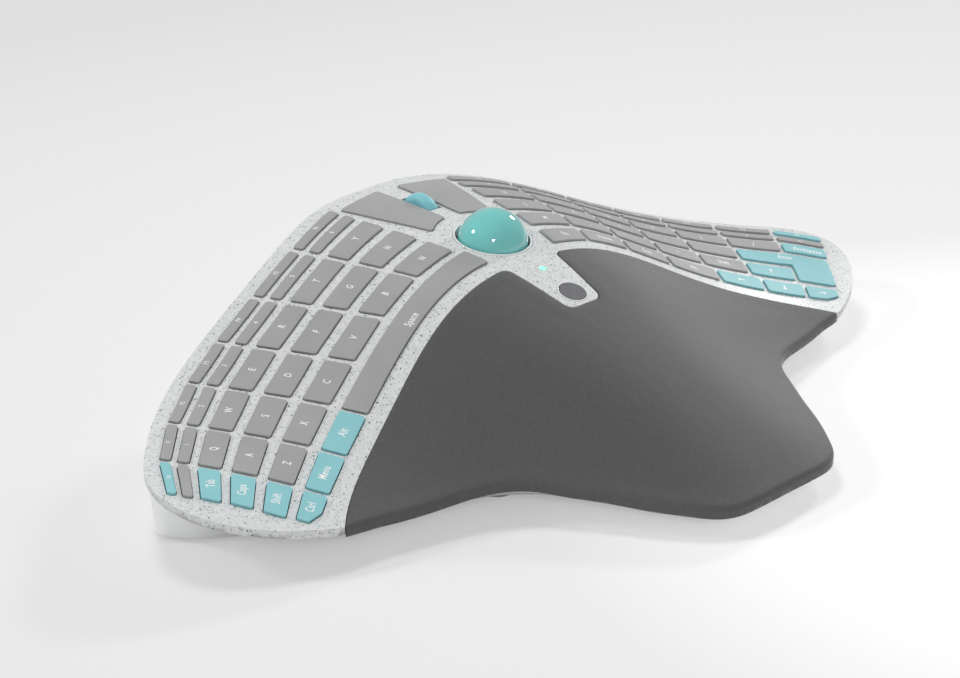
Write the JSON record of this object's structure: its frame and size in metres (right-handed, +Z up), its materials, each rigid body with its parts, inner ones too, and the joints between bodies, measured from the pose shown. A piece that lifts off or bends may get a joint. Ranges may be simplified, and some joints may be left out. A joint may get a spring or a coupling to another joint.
{
  "type": "trackball keyboard",
  "caption": "Arched one-piece ergonomic keyboard with two key wings, a trackball and scroll wheel at the crown and a soft palm rest in front.",
  "frame": {"origin": "on the table, under the middle of the whole outline", "axes": "+X to the right wing, +Y to the back, +Z up"},
  "size_m": [0.3852, 0.2354, 0.0811],
  "materials": {
    "terrazzo_shell": "satin off-white plastic with fine grey and teal chips",
    "tray_white": "satin white plastic",
    "grey_key": "fine matt plastic",
    "teal_key": "fine matt plastic",
    "palm_rest": "soft fine-grained skin",
    "foam": "soft foam",
    "gloss_teal": "polished",
    "wheel_teal": "satin rubber",
    "ring_white": "glossy white",
    "button_grey": "satin plastic",
    "housing_white": "glossy white",
    "light_mint": "milky light pipe",
    "inner_plastic": "matt black plastic",
    "plate_metal": "brushed sheet",
    "steel": "plain steel",
    "board_green": "printed circuit board",
    "battery_wrap": "wrapped cell",
    "rubber": "rubber"
  },
  "bodies": {
    "casing": {"top_shell": "terrazzo_shell", "lower_tray": "tray_white", "palm_rest_cover": "palm_rest", "palm_rest_foam": "foam", "rest_deck": "inner_plastic", "ball_socket": "inner_plastic", "socket_ring": "ring_white", "support_bearings": "steel", "optical_sensor": "inner_plastic", "mouse_board": "board_green", "mouse_switches": "inner_plastic", "button_housing": "housing_white", "status_light": "light_mint", "main_board": "board_green", "battery": "battery_wrap", "left_key_plate": "plate_metal", "right_key_plate": "plate_metal", "rubber_feet": "rubber", "case_screws": "steel", "wheel_carriage": "inner_plastic", "wheel_axle": "steel", "wheel_encoder": "inner_plastic"},
    "ball": {"trackball": "gloss_teal"},
    "wheel": {"scroll_wheel": "wheel_teal"},
    "left_mouse": {"left_mouse_key": "grey_key"},
    "right_mouse": {"right_mouse_key": "grey_key"},
    "power": {"power_button": "button_grey"},
    "left_keys_column_1_body": {"left_keys_column_1": "grey_key"},
    "left_keys_column_2_body": {"left_keys_column_2": "grey_key"},
    "left_keys_column_3_body": {"left_keys_column_3": "grey_key"},
    "left_keys_column_4_body": {"left_keys_column_4": "grey_key"},
    "left_keys_column_5_body": {"left_keys_column_5": "grey_key"},
    "left_keys_column_6_body": {"left_keys_column_6": "grey_key"},
    "right_keys_column_1_body": {"right_keys_column_1": "grey_key"},
    "right_keys_column_2_body": {"right_keys_column_2": "grey_key"},
    "right_keys_column_3_body": {"right_keys_column_3": "grey_key"},
    "right_keys_column_4_body": {"right_keys_column_4": "grey_key"},
    "right_keys_column_5_body": {"right_keys_column_5": "grey_key"},
    "right_keys_column_6_body": {"right_keys_column_6": "grey_key"},
    "escape_key_body": {"escape_key": "teal_key"},
    "left_blank_key_body": {"left_blank_key": "grey_key"},
    "tab_key_body": {"tab_key": "teal_key"},
    "caps_key_body": {"caps_key": "teal_key"},
    "left_shift_key_body": {"left_shift_key": "teal_key"},
    "delete_key_body": {"delete_key": "teal_key"},
    "right_blank_key_body": {"right_blank_key": "grey_key"},
    "backspace_key_body": {"backspace_key": "teal_key"},
    "space_key_body": {"space_key": "grey_key"},
    "alt_key_body": {"alt_key": "teal_key"},
    "menu_key_body": {"menu_key": "teal_key"},
    "control_key_body": {"control_key": "teal_key"},
    "thumb_key_1_body": {"thumb_key_1": "grey_key"},
    "thumb_key_2_body": {"thumb_key_2": "grey_key"},
    "thumb_key_3_body": {"thumb_key_3": "grey_key"},
    "thumb_key_4_body": {"thumb_key_4": "grey_key"},
    "arrow_left_key_body": {"arrow_left_key": "teal_key"},
    "arrow_down_key_body": {"arrow_down_key": "teal_key"},
    "arrow_right_key_body": {"arrow_right_key": "teal_key"},
    "arrow_up_key_body": {"arrow_up_key": "teal_key"},
    "enter_key_body": {"enter_key": "teal_key"}
  },
  "joints": [
    {"name": "left_keys_column_1_press", "type": "slide", "parent": "casing", "child": "left_keys_column_1_body", "axis": [0.216, 0.0963, -0.9716], "range_m": [0, 0.0018], "stiffness_N_per_m": 1750, "springref_m": -0.001},
    {"name": "left_keys_column_2_press", "type": "slide", "parent": "casing", "child": "left_keys_column_2_body", "axis": [0.3527, 0.141, -0.9251], "range_m": [0, 0.0018], "stiffness_N_per_m": 1750, "springref_m": -0.001},
    {"name": "left_keys_column_3_press", "type": "slide", "parent": "casing", "child": "left_keys_column_3_body", "axis": [0.3695, 0.1704, -0.9135], "range_m": [0, 0.0018], "stiffness_N_per_m": 1750, "springref_m": -0.001},
    {"name": "left_keys_column_4_press", "type": "slide", "parent": "casing", "child": "left_keys_column_4_body", "axis": [0.2905, 0.1705, -0.9416], "range_m": [0, 0.0018], "stiffness_N_per_m": 1750, "springref_m": -0.001},
    {"name": "left_keys_column_5_press", "type": "slide", "parent": "casing", "child": "left_keys_column_5_body", "axis": [0.1819, 0.1575, -0.9706], "range_m": [0, 0.0018], "stiffness_N_per_m": 1750, "springref_m": -0.001},
    {"name": "left_keys_column_6_press", "type": "slide", "parent": "casing", "child": "left_keys_column_6_body", "axis": [0.0426, 0.1571, -0.9867], "range_m": [0, 0.0018], "stiffness_N_per_m": 1750, "springref_m": -0.001},
    {"name": "right_keys_column_1_press", "type": "slide", "parent": "casing", "child": "right_keys_column_1_body", "axis": [-0.216, 0.0963, -0.9716], "range_m": [0, 0.0018], "stiffness_N_per_m": 1750, "springref_m": -0.001},
    {"name": "right_keys_column_2_press", "type": "slide", "parent": "casing", "child": "right_keys_column_2_body", "axis": [-0.3527, 0.141, -0.9251], "range_m": [0, 0.0018], "stiffness_N_per_m": 1750, "springref_m": -0.001},
    {"name": "right_keys_column_3_press", "type": "slide", "parent": "casing", "child": "right_keys_column_3_body", "axis": [-0.3695, 0.1704, -0.9135], "range_m": [0, 0.0018], "stiffness_N_per_m": 1750, "springref_m": -0.001},
    {"name": "right_keys_column_4_press", "type": "slide", "parent": "casing", "child": "right_keys_column_4_body", "axis": [-0.2905, 0.1705, -0.9416], "range_m": [0, 0.0018], "stiffness_N_per_m": 1750, "springref_m": -0.001},
    {"name": "right_keys_column_5_press", "type": "slide", "parent": "casing", "child": "right_keys_column_5_body", "axis": [-0.1819, 0.1575, -0.9706], "range_m": [0, 0.0018], "stiffness_N_per_m": 1750, "springref_m": -0.001},
    {"name": "right_keys_column_6_press", "type": "slide", "parent": "casing", "child": "right_keys_column_6_body", "axis": [-0.0426, 0.1571, -0.9867], "range_m": [0, 0.0018], "stiffness_N_per_m": 1050, "springref_m": -0.001},
    {"name": "escape_key_press", "type": "slide", "parent": "casing", "child": "escape_key_body", "axis": [-0.0368, 0.0924, -0.995], "range_m": [0, 0.0018], "stiffness_N_per_m": 350, "springref_m": -0.001},
    {"name": "left_blank_key_press", "type": "slide", "parent": "casing", "child": "left_blank_key_body", "axis": [-0.0367, 0.115, -0.9927], "range_m": [0, 0.0018], "stiffness_N_per_m": 350, "springref_m": -0.001},
    {"name": "tab_key_press", "type": "slide", "parent": "casing", "child": "tab_key_body", "axis": [-0.0365, 0.1513, -0.9878], "range_m": [0, 0.0018], "stiffness_N_per_m": 350, "springref_m": -0.001},
    {"name": "caps_key_press", "type": "slide", "parent": "casing", "child": "caps_key_body", "axis": [-0.0356, 0.2046, -0.9782], "range_m": [0, 0.0018], "stiffness_N_per_m": 350, "springref_m": -0.001},
    {"name": "left_shift_key_press", "type": "slide", "parent": "casing", "child": "left_shift_key_body", "axis": [-0.0342, 0.2563, -0.966], "range_m": [0, 0.0018], "stiffness_N_per_m": 350, "springref_m": -0.001},
    {"name": "delete_key_press", "type": "slide", "parent": "casing", "child": "delete_key_body", "axis": [0.0368, 0.0924, -0.995], "range_m": [0, 0.0018], "stiffness_N_per_m": 350, "springref_m": -0.001},
    {"name": "right_blank_key_press", "type": "slide", "parent": "casing", "child": "right_blank_key_body", "axis": [0.0367, 0.115, -0.9927], "range_m": [0, 0.0018], "stiffness_N_per_m": 350, "springref_m": -0.001},
    {"name": "backspace_key_press", "type": "slide", "parent": "casing", "child": "backspace_key_body", "axis": [0.0365, 0.1513, -0.9878], "range_m": [0, 0.0018], "stiffness_N_per_m": 350, "springref_m": -0.001},
    {"name": "space_key_press", "type": "slide", "parent": "casing", "child": "space_key_body", "axis": [0.366, 0.2541, -0.8953], "range_m": [0, 0.0018], "stiffness_N_per_m": 350, "springref_m": -0.001},
    {"name": "alt_key_press", "type": "slide", "parent": "casing", "child": "alt_key_body", "axis": [0.19, 0.2781, -0.9416], "range_m": [0, 0.0018], "stiffness_N_per_m": 350, "springref_m": -0.001},
    {"name": "menu_key_press", "type": "slide", "parent": "casing", "child": "menu_key_body", "axis": [0.0806, 0.2894, -0.9538], "range_m": [0, 0.0018], "stiffness_N_per_m": 350, "springref_m": -0.001},
    {"name": "control_key_press", "type": "slide", "parent": "casing", "child": "control_key_body", "axis": [-0.0167, 0.2823, -0.9592], "range_m": [0, 0.0018], "stiffness_N_per_m": 350, "springref_m": -0.001},
    {"name": "thumb_key_1_press", "type": "slide", "parent": "casing", "child": "thumb_key_1_body", "axis": [-0.1838, 0.2047, -0.9614], "range_m": [0, 0.0018], "stiffness_N_per_m": 350, "springref_m": -0.001},
    {"name": "thumb_key_2_press", "type": "slide", "parent": "casing", "child": "thumb_key_2_body", "axis": [-0.3302, 0.2309, -0.9152], "range_m": [0, 0.0018], "stiffness_N_per_m": 350, "springref_m": -0.001},
    {"name": "thumb_key_3_press", "type": "slide", "parent": "casing", "child": "thumb_key_3_body", "axis": [-0.3733, 0.2583, -0.891], "range_m": [0, 0.0018], "stiffness_N_per_m": 350, "springref_m": -0.001},
    {"name": "thumb_key_4_press", "type": "slide", "parent": "casing", "child": "thumb_key_4_body", "axis": [-0.2963, 0.2712, -0.9158], "range_m": [0, 0.0018], "stiffness_N_per_m": 350, "springref_m": -0.001},
    {"name": "arrow_left_key_press", "type": "slide", "parent": "casing", "child": "arrow_left_key_body", "axis": [-0.1746, 0.28, -0.944], "range_m": [0, 0.0018], "stiffness_N_per_m": 350, "springref_m": -0.001},
    {"name": "arrow_down_key_press", "type": "slide", "parent": "casing", "child": "arrow_down_key_body", "axis": [-0.069, 0.2893, -0.9548], "range_m": [0, 0.0018], "stiffness_N_per_m": 350, "springref_m": -0.001},
    {"name": "arrow_right_key_press", "type": "slide", "parent": "casing", "child": "arrow_right_key_body", "axis": [0.0277, 0.2819, -0.959], "range_m": [0, 0.0018], "stiffness_N_per_m": 350, "springref_m": -0.001},
    {"name": "arrow_up_key_press", "type": "slide", "parent": "casing", "child": "arrow_up_key_body", "axis": [-0.075, 0.2247, -0.9715], "range_m": [0, 0.0018], "stiffness_N_per_m": 350, "springref_m": -0.001},
    {"name": "enter_key_press", "type": "slide", "parent": "casing", "child": "enter_key_body", "axis": [0.0103, 0.1949, -0.9808], "range_m": [0, 0.0018], "stiffness_N_per_m": 350, "springref_m": -0.001},
    {"name": "ball_roll", "type": "hinge", "parent": "casing", "child": "ball", "pos_m": [0, 0.0426, 0.0661], "axis": [1, 0, 0], "continuous": true},
    {"name": "wheel_turn", "type": "hinge", "parent": "casing", "child": "wheel", "pos_m": [0, 0.087, 0.0664], "axis": [1, 0, 0], "continuous": true},
    {"name": "power_press", "type": "slide", "parent": "casing", "child": "power", "axis": [0, 0.3206, -0.9472], "range_m": [0, 0.0005], "stiffness_N_per_m": 900, "springref_m": -0.001},
    {"name": "left_mouse_press", "type": "hinge", "parent": "casing", "child": "left_mouse", "pos_m": [0, 0.1092, 0.07187], "axis": [1, 0, 0], "range_deg": [0, 1.2], "stiffness_Nm_per_rad": 1.5, "springref_deg": -1.15},
    {"name": "right_mouse_press", "type": "hinge", "parent": "casing", "child": "right_mouse", "pos_m": [0, 0.1092, 0.07187], "axis": [1, 0, 0], "range_deg": [0, 1.2], "stiffness_Nm_per_rad": 1.5, "springref_deg": -1.15}
  ]
}
